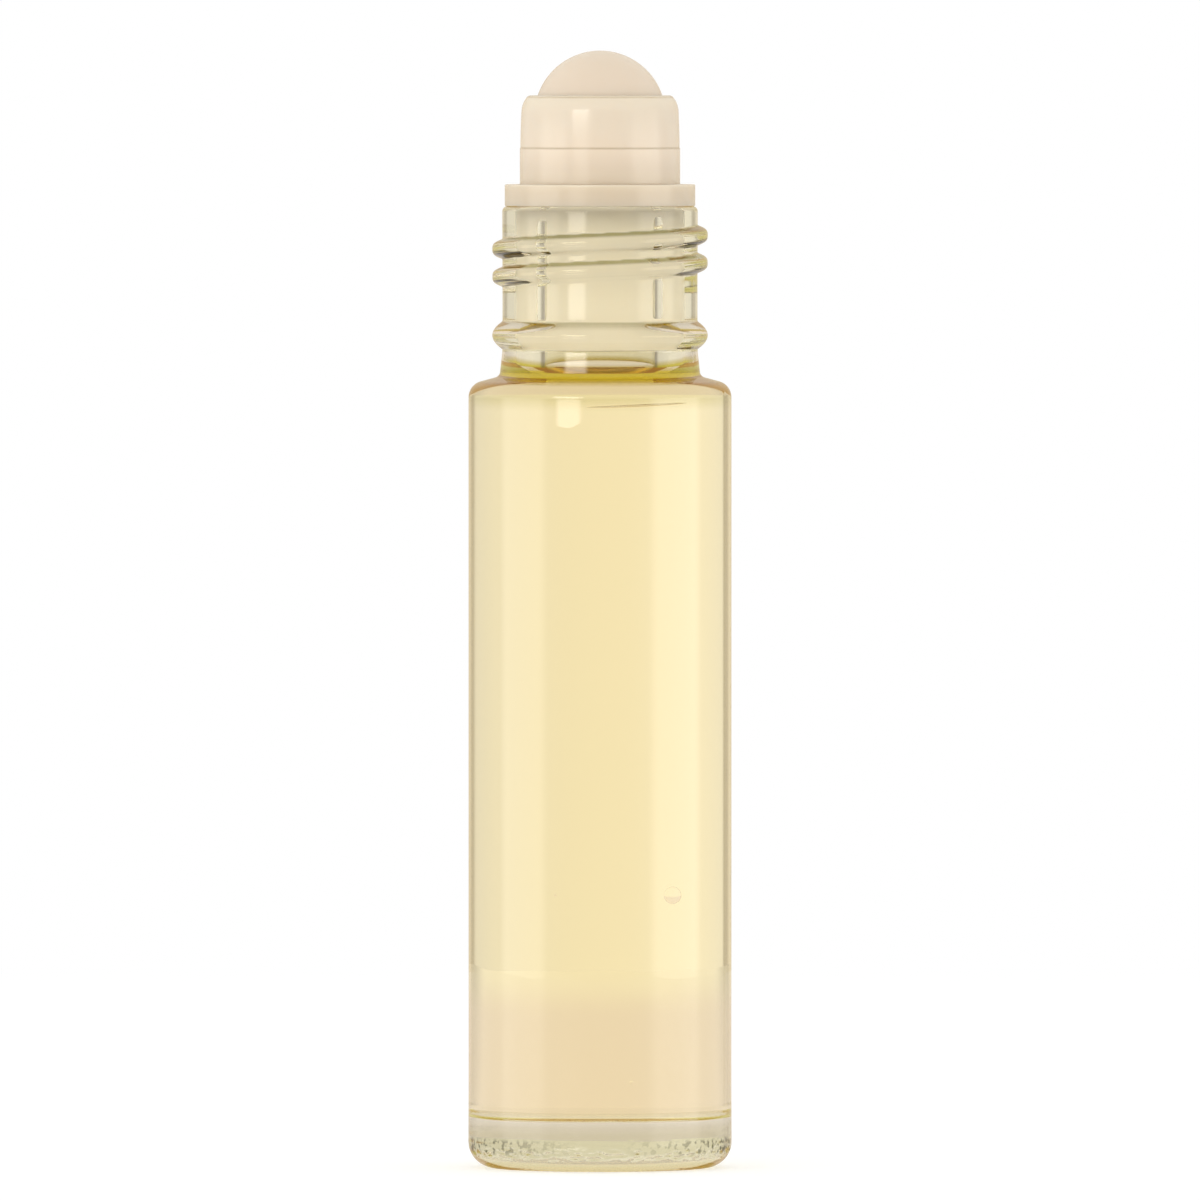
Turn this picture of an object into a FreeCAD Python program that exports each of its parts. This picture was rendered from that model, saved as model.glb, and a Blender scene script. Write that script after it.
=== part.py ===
# Roll-on bottle: a moulded glass bottle with its oil, a plug-in roller housing and a ball.
# Millimetres, +Z up. The origin is the centre of the plane that the bottle stands on.
import FreeCAD, Part
import math
import os
import Sketcher

# Driving dimensions. Heights stack up from the standing plane; "stand" is how far a ridge rises.
SIZES = {
    # Glass body
    "body_diameter": 20.0,
    "body_height": 58.5,
    "body_wall": 1.8,
    "base_thickness": 3.7,
    "floor_corner_radius": 1.6,
    "heel_radius": 2.0,
    "punt_diameter": 12.0,
    "punt_depth": 0.6,
    # Shoulder
    "shoulder_angle": 15.0,
    "shoulder_radius": 1.25,
    "inner_shoulder_radius": 1.6,
    "throat_radius": 1.2,
    # Neck
    "neck_diameter": 14.84,
    "neck_foot_flare": 0.18,
    "neck_foot_height": 3.1,
    "neck_foot_radius": 0.5,
    "bore_diameter": 8.4,
    "lip_radius": 0.4,
    # Transfer bead below the thread
    "bead_drop": 9.8,
    "bead_stand": 0.76,
    "bead_section_radius": 1.05,
    # Screw thread for a cap
    "thread_drop": 1.97,
    "thread_pitch": 2.1,
    "thread_turns": 1.92,
    "thread_start_angle": 70.0,
    "thread_stand": 0.76,
    "thread_section_radius": 0.78,
    # Ball and socket
    "ball_diameter": 10.0,
    "ball_play": 0.1,
    "ball_lift": 0.15,
    # Roller housing
    "cup_wall": 0.94,
    "snap_lip_height": 1.6,
    "rim_round_radius": 1.7,
    "rim_round_height": 1.15,
    "parting_step": 0.04,
    "parting_height": 2.75,
    "flange_thickness": 1.65,
    "flange_inset": 0.19,
    "plug_length": 10.8,
    "plug_clearance": 0.05,
    "plug_lead_in": 0.4,
    "orifice_diameter": 5.6,
    # Oil
    "oil_gap": 1.7,
}

# Glass, as formulas of the sheet's cells
BODY_R = "(Sizes.body_diameter / 2)"
NECK_R = "(Sizes.neck_diameter / 2)"
BORE_R = "(Sizes.bore_diameter / 2)"
INNER_R = f"({BODY_R} - Sizes.body_wall)"
FOOT_R = f"({NECK_R} + Sizes.neck_foot_flare)"
SLOPE = "(Sizes.shoulder_angle * 1 deg)"
SHELF = f"({BODY_R} - {FOOT_R})"
# The shoulder's roundings take at most half of the shelf between neck and body.
SHOULDER_RADIUS = f"min(Sizes.shoulder_radius; {SHELF} / 2 / (1 - sin({SLOPE})))"
FOOT_RADIUS = f"min(Sizes.neck_foot_radius; {SHELF} / 2)"
# Where the shoulder's rounding runs into its slope
SHOULDER_R = f"({BODY_R} - {SHOULDER_RADIUS} * (1 - sin({SLOPE})))"
SHOULDER_Z = f"(Sizes.body_height + {SHOULDER_RADIUS} * cos({SLOPE}))"
FOOT_Z = f"({SHOULDER_Z} + ({SHOULDER_R} - {FOOT_R}) * tan({SLOPE}))"
BEAD_Z = f"({FOOT_Z} + Sizes.neck_foot_height)"
LIP_Z = f"({BEAD_Z} + Sizes.bead_drop)"
# The bead is a round ridge whose centre lies inside the neck's wall.
BEAD_HALF = "sqrt(Sizes.bead_section_radius ^ 2 - (Sizes.bead_section_radius - Sizes.bead_stand) ^ 2)"
FOOT_TANGENT = f"({FOOT_RADIUS} * tan((90 deg - {SLOPE}) / 2))"
# The inner shoulder runs one wall below the outer slope.
INNER_SLOPE_Z = f"({FOOT_Z} - Sizes.body_wall / cos({SLOPE}))"
INNER_EDGE_Z = f"({INNER_SLOPE_Z} - ({INNER_R} - {FOOT_R}) * tan({SLOPE}))"
THROAT_Z = f"({INNER_SLOPE_Z} + ({FOOT_R} - {BORE_R}) * tan({SLOPE}))"
LEDGE = f"({INNER_R} - {BORE_R})"
INNER_RADIUS = f"min(Sizes.inner_shoulder_radius; {LEDGE} / 2)"
THROAT_RADIUS = f"min(Sizes.throat_radius; {LEDGE} / 2)"
INNER_TANGENT = f"({INNER_RADIUS} * tan((90 deg - {SLOPE}) / 2))"
THROAT_TANGENT = f"({THROAT_RADIUS} * tan((90 deg - {SLOPE}) / 2))"

# Thread: a round ridge that climbs to the right
THREAD_PATH_R = f"({NECK_R} + Sizes.thread_stand - Sizes.thread_section_radius)"
THREAD_END_Z = f"({LIP_Z} - Sizes.thread_drop)"
THREAD_START_Z = f"({THREAD_END_Z} - Sizes.thread_pitch * Sizes.thread_turns)"
THREAD_START_ANGLE = "(Sizes.thread_start_angle * 1 deg)"
THREAD_END_ANGLE = "((Sizes.thread_start_angle + 360 * Sizes.thread_turns) * 1 deg)"

# Housing and ball, stacked on the glass lip
BALL_R = "(Sizes.ball_diameter / 2)"
SOCKET_R = f"({BALL_R} + Sizes.ball_play)"
ORIFICE_R = "(Sizes.orifice_diameter / 2)"
CUP_R = f"({SOCKET_R} + Sizes.cup_wall)"
SKIRT_R = f"({CUP_R} + Sizes.parting_step)"
PLUG_R = f"({BORE_R} - Sizes.plug_clearance)"
FLANGE_R = f"({NECK_R} - Sizes.flange_inset)"
FLANGE_Z = f"({LIP_Z} + Sizes.flange_thickness)"
BALL_Z = f"({FLANGE_Z} + Sizes.ball_lift + {BALL_R})"
RIM_Z = f"({BALL_Z} + Sizes.snap_lip_height)"
PLUG_END_Z = f"({LIP_Z} - Sizes.plug_length)"
SEAT_Z = f"({BALL_Z} - sqrt({SOCKET_R} ^ 2 - {ORIFICE_R} ^ 2))"
RIM_INNER_R = f"sqrt({SOCKET_R} ^ 2 - Sizes.snap_lip_height ^ 2)"
RIM_ROUND_RUN = "(Sizes.rim_round_radius - sqrt(Sizes.rim_round_radius ^ 2 - Sizes.rim_round_height ^ 2))"

OIL_Z = f"({PLUG_END_Z} - Sizes.oil_gap)"
# How far the cavity's solid passes the lip, so that it opens the mouth
MOUTH_OVERRUN = 2.0

doc = FreeCAD.newDocument("RollOnBottle")


def make_sheet():
    """Put the driving dimensions into the spreadsheet, one named cell each."""
    sheet = doc.addObject("Spreadsheet::Sheet", "Sizes")
    for row, (name, value) in enumerate(SIZES.items(), start=1):
        sheet.set(f"A{row}", name)
        sheet.set(f"B{row}", str(value))
        sheet.setAlias(f"B{row}", name)
    doc.recompute()
    return sheet


sizes = make_sheet()


def value_of(formula):
    """The present value of a formula of the sheet's cells."""
    result = sizes.evalExpression(formula)
    return float(getattr(result, "Value", result))


def origin_feature(body, role):
    """One of the body's own origin planes or axes."""
    return next(item for item in body.Origin.OriginFeatures if item.Role == role)


def bind(item, **formulas):
    """Bind an object's properties to formulas of the sheet's cells."""
    for name, formula in formulas.items():
        item.setExpression(name, formula)


def arc_between(start, end, radius, left):
    """The minor arc from start to end, whose centre is on the left of the way, or on the right."""
    chord = end - start
    across = FreeCAD.Vector(-chord.y, chord.x, 0).normalize()
    depth = math.sqrt(max(radius ** 2 - (chord.Length / 2) ** 2, 0))
    centre = start + chord / 2 + across * (depth if left else -depth)
    first, last = (start, end) if left else (end, start)
    first_angle = math.atan2(first.y - centre.y, first.x - centre.x)
    last_angle = math.atan2(last.y - centre.y, last.x - centre.x)
    circle = Part.Circle(centre, FreeCAD.Vector(0, 0, 1), radius)
    return Part.ArcOfCircle(circle, first_angle, last_angle)


def sketch_outline(body, name, corners, arcs):
    """Draw a closed half section on the body's XZ plane, every corner placed by formulas.

    corners: (corner name, distance from the axis, height), in order round the outline.
    arcs: corner name to (radius, side) for the edge that leaves that corner; side is the
    side of the way that the arc's centre lies on.
    """
    sketch = body.newObject("Sketcher::SketchObject", name)
    sketch.AttachmentSupport = [(origin_feature(body, "XZ_Plane"), "")]
    sketch.MapMode = "FlatFace"
    points = [FreeCAD.Vector(value_of(across), value_of(up), 0) for _, across, up in corners]
    ends = []
    for index, (corner, _, _) in enumerate(corners):
        start, end = points[index], points[(index + 1) % len(points)]
        if corner in arcs:
            radius, side = arcs[corner]
            left = side == "left"
            edge = sketch.addGeometry(arc_between(start, end, value_of(radius), left))
            ends.append((edge, 1, 2) if left else (edge, 2, 1))
        else:
            edge = sketch.addGeometry(Part.LineSegment(start, end))
            ends.append((edge, 1, 2))
    for index, (edge, _, last) in enumerate(ends):
        following, first, _ = ends[(index + 1) % len(ends)]
        sketch.addConstraint(Sketcher.Constraint("Coincident", edge, last, following, first))
    for (corner, across, up), (edge, first, _), point in zip(corners, ends, points):
        for kind, axis, mark, formula, place in (
            ("DistanceX", -2, "r", across, point.x),
            ("DistanceY", -1, "z", up, point.y),
        ):
            if formula == "0":
                sketch.addConstraint(Sketcher.Constraint("PointOnObject", edge, first, axis))
                continue
            number = sketch.addConstraint(Sketcher.Constraint(kind, -1, 1, edge, first, place))
            label = f"{corner}_{mark}"
            sketch.renameConstraint(number, label)
            sketch.setExpression(f"Constraints.{label}", formula)
        if corner in arcs:
            radius = arcs[corner][0]
            number = sketch.addConstraint(Sketcher.Constraint("Radius", edge, value_of(radius)))
            sketch.renameConstraint(number, f"{corner}_arc")
            sketch.setExpression(f"Constraints.{corner}_arc", radius)
    return sketch


def turned_body(name, corners, arcs):
    """A body made by turning a half section once about Z."""
    body = doc.addObject("PartDesign::Body", name)
    sketch = sketch_outline(body, f"{name}_section", corners, arcs)
    doc.recompute()
    turned = body.newObject("PartDesign::Revolution", f"{name}_turned")
    turned.Profile = sketch
    turned.ReferenceAxis = (sketch, ["V_Axis"])
    turned.Angle = 360
    doc.recompute()
    return body


def make_blank():
    """The bottle's outside as one solid: base, body, shoulder, neck and bead."""
    corners = [
        ("punt_top", "0", "Sizes.punt_depth"),
        ("punt_edge", "Sizes.punt_diameter / 2", "0"),
        ("heel_low", f"{BODY_R} - Sizes.heel_radius", "0"),
        ("heel_high", BODY_R, "Sizes.heel_radius"),
        ("body_top", BODY_R, "Sizes.body_height"),
        ("shoulder_out", SHOULDER_R, SHOULDER_Z),
        (
            "shoulder_in",
            f"{FOOT_R} + {FOOT_TANGENT} * cos({SLOPE})",
            f"{FOOT_Z} - {FOOT_TANGENT} * sin({SLOPE})",
        ),
        ("foot", FOOT_R, f"{FOOT_Z} + {FOOT_TANGENT}"),
        ("bead_low", NECK_R, f"{BEAD_Z} - {BEAD_HALF}"),
        ("bead_high", NECK_R, f"{BEAD_Z} + {BEAD_HALF}"),
        ("lip_low", NECK_R, f"{LIP_Z} - Sizes.lip_radius"),
        ("lip_high", f"{NECK_R} - Sizes.lip_radius", LIP_Z),
        ("lip_centre", "0", LIP_Z),
    ]
    punt_arc = "(((Sizes.punt_diameter / 2) ^ 2 + Sizes.punt_depth ^ 2) / (2 * Sizes.punt_depth))"
    arcs = {
        "punt_top": (punt_arc, "right"),
        "heel_low": ("Sizes.heel_radius", "left"),
        "body_top": (SHOULDER_RADIUS, "left"),
        "shoulder_in": (FOOT_RADIUS, "right"),
        "bead_low": ("Sizes.bead_section_radius", "left"),
        "lip_low": ("Sizes.lip_radius", "left"),
    }
    return turned_body("bottle_blank", corners, arcs)


def make_thread():
    """The round thread ridge, wound about the neck, and the balls that round off its two ends."""
    path = doc.addObject("Part::Helix", "thread_path")
    bind(path, Pitch="Sizes.thread_pitch", Radius=THREAD_PATH_R)
    bind(path, Height="Sizes.thread_pitch * Sizes.thread_turns")
    bind(path, **{"Placement.Base.z": THREAD_START_Z, "Placement.Rotation.Angle": THREAD_START_ANGLE})
    doc.recompute()
    section = doc.addObject("Part::Circle", "thread_section")
    section.AttachmentSupport = [(path, "Edge1")]
    section.MapMode = "NormalToEdge"
    section.MapPathParameter = 0
    bind(section, Radius="Sizes.thread_section_radius")
    ridge = doc.addObject("Part::Sweep", "thread_ridge")
    ridge.Sections = [section]
    ridge.Spine = (path, ["Edge1"])
    ridge.Solid = True
    ridge.Frenet = True
    pieces = [ridge]
    for name, angle, height in (
        ("thread_start", THREAD_START_ANGLE, THREAD_START_Z),
        ("thread_end", THREAD_END_ANGLE, THREAD_END_Z),
    ):
        ball = doc.addObject("Part::Sphere", name)
        bind(ball, Radius="Sizes.thread_section_radius")
        bind(ball, **{"Placement.Base.x": f"{THREAD_PATH_R} * cos({angle})"})
        bind(ball, **{"Placement.Base.y": f"{THREAD_PATH_R} * sin({angle})"})
        bind(ball, **{"Placement.Base.z": height})
        pieces.append(ball)
    return pieces


def make_cavity():
    """The space inside the bottle, from the floor to past the mouth."""
    top = f"{LIP_Z} + {MOUTH_OVERRUN}"
    mouth = f"{BORE_R} + Sizes.lip_radius"
    corners = [
        ("floor_centre", "0", "Sizes.base_thickness"),
        ("floor_edge", f"{INNER_R} - Sizes.floor_corner_radius", "Sizes.base_thickness"),
        ("wall_low", INNER_R, "Sizes.base_thickness + Sizes.floor_corner_radius"),
        ("wall_high", INNER_R, f"{INNER_EDGE_Z} - {INNER_TANGENT}"),
        (
            "slope_out",
            f"{INNER_R} - {INNER_TANGENT} * cos({SLOPE})",
            f"{INNER_EDGE_Z} + {INNER_TANGENT} * sin({SLOPE})",
        ),
        (
            "slope_in",
            f"{BORE_R} + {THROAT_TANGENT} * cos({SLOPE})",
            f"{THROAT_Z} - {THROAT_TANGENT} * sin({SLOPE})",
        ),
        ("throat", BORE_R, f"{THROAT_Z} + {THROAT_TANGENT}"),
        ("mouth_low", BORE_R, f"{LIP_Z} - Sizes.lip_radius"),
        ("mouth_high", mouth, LIP_Z),
        ("mouth_top", mouth, top),
        ("mouth_centre", "0", top),
    ]
    arcs = {
        "floor_edge": ("Sizes.floor_corner_radius", "left"),
        "wall_high": (INNER_RADIUS, "left"),
        "slope_in": (THROAT_RADIUS, "right"),
        "mouth_low": ("Sizes.lip_radius", "right"),
    }
    return turned_body("bottle_cavity", corners, arcs)


def make_bottle(blank, thread, cavity):
    """The glass: the blank with its thread, and the cavity taken out."""
    outside = doc.addObject("Part::MultiFuse", "bottle_outside")
    outside.Shapes = [blank, *thread]
    bottle = doc.addObject("Part::Cut", "glass_bottle")
    bottle.Base = outside
    bottle.Tool = cavity
    return bottle


def make_oil(cavity):
    """The oil: the cavity up to the oil's level."""
    reach = doc.addObject("Part::Cylinder", "oil_reach")
    bind(reach, Radius="Sizes.body_diameter", Height=OIL_Z)
    oil = doc.addObject("Part::Common", "oil_fill")
    oil.Base = cavity
    oil.Tool = reach
    return oil


def make_housing():
    """The roller housing: plug, flange, and cup with the ball's socket and snap lip."""
    corners = [
        ("plug_bore", ORIFICE_R, PLUG_END_Z),
        ("plug_end", f"{PLUG_R} - Sizes.plug_lead_in", PLUG_END_Z),
        ("plug_side", PLUG_R, f"{PLUG_END_Z} + Sizes.plug_lead_in"),
        ("plug_root", PLUG_R, LIP_Z),
        ("flange_low", FLANGE_R, LIP_Z),
        ("flange_high", FLANGE_R, FLANGE_Z),
        ("skirt_low", SKIRT_R, FLANGE_Z),
        ("skirt_high", SKIRT_R, f"{FLANGE_Z} + Sizes.parting_height"),
        ("cup_low", CUP_R, f"{FLANGE_Z} + Sizes.parting_height"),
        ("cup_high", CUP_R, f"{RIM_Z} - Sizes.rim_round_height"),
        ("rim_outer", f"{CUP_R} - {RIM_ROUND_RUN}", RIM_Z),
        ("rim_inner", RIM_INNER_R, RIM_Z),
        ("seat", ORIFICE_R, SEAT_Z),
    ]
    arcs = {
        "cup_high": ("Sizes.rim_round_radius", "left"),
        "rim_inner": (SOCKET_R, "right"),
    }
    return turned_body("roller_housing", corners, arcs)


def make_ball():
    """The ball, centred in its socket."""
    ball = doc.addObject("Part::Sphere", "roller_ball")
    bind(ball, Radius=BALL_R)
    bind(ball, **{"Placement.Base.z": BALL_Z})
    return ball


def check_and_write(nodes):
    """Stop on any failed object, then write one file per sub-part."""
    for item in doc.Objects:
        if "Invalid" in item.State or "Error" in item.State:
            raise RuntimeError(f"{item.Label} failed: {item.State}")
    for node in nodes:
        shape = node.Shape
        if shape.isNull() or not shape.isValid() or len(shape.Solids) != 1:
            raise RuntimeError(f"{node.Label} isn't one sound solid")
    os.makedirs("parts", exist_ok=True)
    for node in nodes:
        node.Shape.exportStep(os.path.join("parts", f"{node.Label}.step"))
        box = node.Shape.BoundBox
        print(f"{node.Label}: {node.Shape.Volume / 1000:.3f} ml, z {box.ZMin:.2f} to {box.ZMax:.2f}")


bottle_cavity = make_cavity()
sub_parts = [
    make_bottle(make_blank(), make_thread(), bottle_cavity),
    make_oil(bottle_cavity),
    make_housing(),
    make_ball(),
]
doc.recompute()
check_and_write(sub_parts)
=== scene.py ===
# %% [markdown]
# # A roll-on bottle, dressed in Blender
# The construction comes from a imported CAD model: a glass bottle, its oil, a plastic roller
# housing and a ball. This lesson keeps every size and place of that model and gives each
# piece the surface that the real one has. Glass is the hard part, because what the eye sees
# is mostly the light behind it, so the studio matters as much as the meshes.

import math

import bpy
import numpy as np
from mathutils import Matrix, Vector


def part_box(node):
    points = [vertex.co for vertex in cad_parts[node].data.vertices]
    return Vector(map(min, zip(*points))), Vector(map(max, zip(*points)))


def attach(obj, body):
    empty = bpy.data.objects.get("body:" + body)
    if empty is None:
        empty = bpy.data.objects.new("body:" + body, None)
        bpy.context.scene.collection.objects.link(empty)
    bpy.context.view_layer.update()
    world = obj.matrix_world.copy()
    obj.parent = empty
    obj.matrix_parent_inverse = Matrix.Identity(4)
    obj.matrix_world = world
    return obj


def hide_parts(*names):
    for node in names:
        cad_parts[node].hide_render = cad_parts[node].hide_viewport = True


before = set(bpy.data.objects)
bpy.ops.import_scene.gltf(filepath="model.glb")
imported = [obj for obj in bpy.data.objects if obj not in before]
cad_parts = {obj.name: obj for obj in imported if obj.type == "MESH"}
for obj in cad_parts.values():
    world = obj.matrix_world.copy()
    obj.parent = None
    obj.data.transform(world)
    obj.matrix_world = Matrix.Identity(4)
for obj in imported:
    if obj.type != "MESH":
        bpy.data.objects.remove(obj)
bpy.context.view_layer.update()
MM = 0.001

# %% [markdown]
# ## Sizes
# Places come from the frame: the lip, the body's radius, the oil's level and the ball's centre
# are read from the boxes of the CAD nodes. Only sizes that a box can't show, such as the bore
# of the neck or the radius of a corner, are named here, in millimetres as a drawing gives them.

# %% Read the main places, in millimetres
def node_box(node):
    """The lowest and highest corner of a CAD node, in millimetres."""
    low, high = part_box(node)
    return np.array(low) / MM, np.array(high) / MM


_, bottle_high = node_box("glass_bottle")
oil_low, oil_high = node_box("oil_fill")
housing_low, housing_high = node_box("roller_housing")
ball_low, ball_high = node_box("roller_ball")

BODY_R = bottle_high[0]
LIP_Z = bottle_high[2]
INNER_R = oil_high[0]
FLOOR_Z = oil_low[2]
OIL_Z = oil_high[2]
PLUG_END_Z = housing_low[2]
FLANGE_R = housing_high[0]
RIM_Z = housing_high[2]
BALL_R = (ball_high[0] - ball_low[0]) / 2
BALL_Z = (ball_high[2] + ball_low[2]) / 2
print("body radius", BODY_R, "lip", LIP_Z, "oil", OIL_Z, "ball", BALL_R, "at", BALL_Z)

# %% [markdown]
# ## Colours and nodes
# Colours are written as sRGB hex, the way a colour picker shows them, and one function turns
# them to the linear values that a renderer adds up. One small function adds a node with its
# settings and links, and a few more name the nodes that come again and again, so that a material
# reads as a short list of what feeds what.

# %% Colour and node helpers
WHITE = (1.0, 1.0, 1.0, 1.0)


def linear(hex_colour):
    """sRGB hex to linear RGBA: each channel through the sRGB curve, alpha 1."""
    channels = np.array([int(hex_colour[i:i + 2], 16) for i in (1, 3, 5)]) / 255
    curve = np.where(channels <= 0.04045, channels / 12.92, ((channels + 0.055) / 1.055) ** 2.4)
    return (*curve.tolist(), 1.0)


def add(tree, kind, inputs=None, **settings):
    """Add one node. inputs maps a socket to a plain value, or to a node or socket to link."""
    node = tree.nodes.new(kind)
    for name, value in settings.items():
        setattr(node, name, value)
    for name, value in (inputs or {}).items():
        if isinstance(value, bpy.types.Node):
            value = value.outputs[0]
        if isinstance(value, bpy.types.NodeSocket):
            tree.links.new(value, node.inputs[name])
        else:
            node.inputs[name].default_value = value
    return node


def math_of(tree, operation, *values, clamp=False):
    """The result of one sum on numbers or sockets."""
    node = add(tree, "ShaderNodeMath", dict(enumerate(values)), operation=operation, use_clamp=clamp)
    return node.outputs[0]


def mix_of(tree, factor, first, second, blend="MIX"):
    """Two colours mixed by a factor."""
    sockets = {"Factor": factor, "A": first, "B": second}
    return add(tree, "ShaderNodeMix", sockets, data_type="RGBA", blend_type=blend).outputs["Result"]


def ranged(tree, value, start, end, first=0.0, last=1.0, curve="LINEAR"):
    """A value carried from the range start to end over to first to last, and held past its ends."""
    sockets = {"Value": value, "From Min": start, "From Max": end, "To Min": first, "To Max": last}
    return add(tree, "ShaderNodeMapRange", sockets, interpolation_type=curve).outputs[0]


def ramp_of(tree, share, stops):
    """A colour ramp over a share from zero to one, given as (share, colour) stops."""
    ramp = add(tree, "ShaderNodeValToRGB", {"Fac": share})
    elements = ramp.color_ramp.elements
    while len(elements) < len(stops):
        elements.new(0.5)
    for element, (position, stop_colour) in zip(elements, stops):
        element.position = position
        element.color = linear(stop_colour)
    return ramp.outputs[0]


def parts_of(tree, vector):
    """The X, Y and Z sockets of a vector."""
    return add(tree, "ShaderNodeSeparateXYZ", {0: vector}).outputs


def object_place(tree):
    """The place on a piece in its own coordinates, in metres."""
    return add(tree, "ShaderNodeTexCoord").outputs["Object"]


def noise_of(tree, size_mm, detail):
    """Soft noise with lumps of a size in millimetres."""
    sockets = {"Vector": object_place(tree), "Scale": 1 / (size_mm * MM), "Detail": detail}
    return add(tree, "ShaderNodeTexNoise", sockets).outputs[0]


def bump_of(tree, height, strength, height_mm):
    """Normals as they would stand if the surface rose by up to a height in millimetres."""
    sockets = {"Height": height, "Strength": strength, "Distance": height_mm * MM}
    return add(tree, "ShaderNodeBump", sockets).outputs[0]


def new_material(name):
    """An empty node material and its tree."""
    material = bpy.data.materials.new(name)
    material.use_nodes = True
    material.node_tree.nodes.clear()
    return material, material.node_tree


# %% [markdown]
# ## Camera
# The rings of the bottle look almost straight at the top and a little rounder at the base, so
# the lens is long, far away, and just above the flange. The frame of the picture is about
# 91 mm wide where the bottle stands.

# %% Set the camera
CAMERA_DISTANCE = 2.0
CAMERA_HEIGHT = 0.090
FRAME_WIDTH = 0.0911
AIM_HEIGHT = 0.0431
SENSOR_WIDTH = 36.0
CLIP_END = 20.0

scene = bpy.context.scene
scene.view_settings.view_transform = "Standard"
camera_data = bpy.data.cameras.new("camera")
camera = bpy.data.objects.new("camera", camera_data)
scene.collection.objects.link(camera)
scene.camera = camera
drop = CAMERA_HEIGHT - AIM_HEIGHT
sight_length = math.hypot(CAMERA_DISTANCE, drop)
camera_data.sensor_width = SENSOR_WIDTH
camera_data.lens = SENSOR_WIDTH * sight_length / FRAME_WIDTH
camera_data.clip_end = CLIP_END
camera.location = (0.0, -CAMERA_DISTANCE, CAMERA_HEIGHT)
camera.rotation_euler = (math.pi / 2 - math.atan2(drop, CAMERA_DISTANCE), 0.0, 0.0)
print("lens", round(camera_data.lens), "mm")

# %% [markdown]
# ## Studio
# Clear glass on white is drawn by its dark edges. A cylinder full of oil is a strong lens: near
# its edge it looks more than 60 degrees to the side. So the backdrop is bright behind the bottle,
# dim past that angle, and bright again straight to the side: the edges of the glass turn darker by
# themselves, and a side view stays bright. Rays that have gone through glass see the same backdrop
# in front and behind, so the back view works too. The light is only a little warm, so that
# colours render about as they are written, and the camera itself sees plain white.

# %% Make the world
ROOM_COLOUR = "#FCF7EC"
# Angle away from straight behind the bottle, in degrees, and the colour of the backdrop there
BACKDROP_STOPS = (
    (0, "#FFFFFF"), (40, "#FDFDFD"), (62.5, "#F2F2F2"), (68.5, "#A9A5A1"), (73, "#A9A5A1"),
    (82, "#F2F2F2"), (90, "#FDFDFD"),
)
# The same for what the glass mirrors, where cards stand close beside the backdrop
MIRROR_STOPS = ((0, "#E2D8C9"), (30, "#E2D8C9"), (50, "#F0F0F0"), (90, "#E8E8E8"))
# How much darker the backdrop gets towards the right
BACKDROP_LEAN = 0.08
# The backdrop stands turned to the right, so that its dark side shows more in the right edge
BACKDROP_TURN_DEG = 2.0
# How bright the room is behind and in front, and the angles between which it changes
BACK_LEVEL, FRONT_LEVEL = 1.0, 0.72
BACK_END_DEG, FRONT_START_DEG = 60.0, 120.0
# How bright the room is overhead, and the steepness of a ray over which that begins
CEILING_LEVEL = 0.95
CEILING_LOW, CEILING_HIGH = 0.12, 0.45
# Dull surfaces behind glass came out too dark, so their light is raised by this share
THROUGH_GAIN = 1.75

world = bpy.data.worlds.new("studio")
scene.world = world
world.use_nodes = True
sky = world.node_tree
sky.nodes.clear()
way = parts_of(sky, add(sky, "ShaderNodeTexCoord").outputs["Generated"])
ray = add(sky, "ShaderNodeLightPath").outputs
bearing = math_of(sky, "ARCTAN2", way["X"], way["Y"])
turned = math_of(sky, "SUBTRACT", bearing, math.radians(BACKDROP_TURN_DEG))
off_back = math_of(sky, "ABSOLUTE", turned)
off_front = math_of(sky, "SUBTRACT", math.pi, off_back)
off_axis = math_of(sky, "MINIMUM", off_back, off_front)
quarter = math_of(sky, "DIVIDE", off_axis, math.pi / 2)


def angle_ramp(stops):
    """A colour ramp over the angle from straight behind, given as (degrees, colour) stops."""
    return ramp_of(sky, quarter, [(degrees / 90, stop_colour) for degrees, stop_colour in stops])


lean = math_of(sky, "MULTIPLY_ADD", way["X"], -BACKDROP_LEAN, 1.0)
backdrop = mix_of(sky, 1.0, angle_ramp(BACKDROP_STOPS), lean, "MULTIPLY")
surround = ranged(
    sky, off_back, math.radians(BACK_END_DEG), math.radians(FRONT_START_DEG), BACK_LEVEL, FRONT_LEVEL
)
through = ray["Is Transmission Ray"]
mirrored = mix_of(sky, ray["Is Glossy Ray"], surround, angle_ramp(MIRROR_STOPS))
walls = mix_of(sky, through, mirrored, backdrop)
steep = math_of(sky, "ABSOLUTE", way["Z"])
overhead = ranged(sky, steep, CEILING_LOW, CEILING_HIGH, curve="SMOOTHSTEP")
room = mix_of(sky, overhead, walls, (CEILING_LEVEL, CEILING_LEVEL, CEILING_LEVEL, 1.0))
warm = mix_of(sky, 1.0, room, linear(ROOM_COLOUR), "MULTIPLY")
colour = mix_of(sky, ray["Is Camera Ray"], warm, WHITE)
dulled = math_of(sky, "MULTIPLY", ray["Diffuse Depth"], through, clamp=True)
level = math_of(sky, "MULTIPLY_ADD", dulled, THROUGH_GAIN, 1.0)
light = add(sky, "ShaderNodeBackground", {"Color": colour, "Strength": level})
add(sky, "ShaderNodeOutputWorld", {"Surface": light})
print("room colour", ROOM_COLOUR)

# %% [markdown]
# Two wide, low softboxes stand left and right and give the glass its long pale bands. In front on
# the left, a low one gives the short bright window at the top of the body, and a high one the
# drop-shaped light on the cup. Each fades towards its sides, as a softbox does. A lamp's power
# follows from how bright its face should look, so that they can be compared by eye. Rays that
# have been inside the glass don't see the lamps, which keeps false windows off the back wall.

# %% Hang the lamps
LAMP_DISTANCE = 0.8
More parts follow.
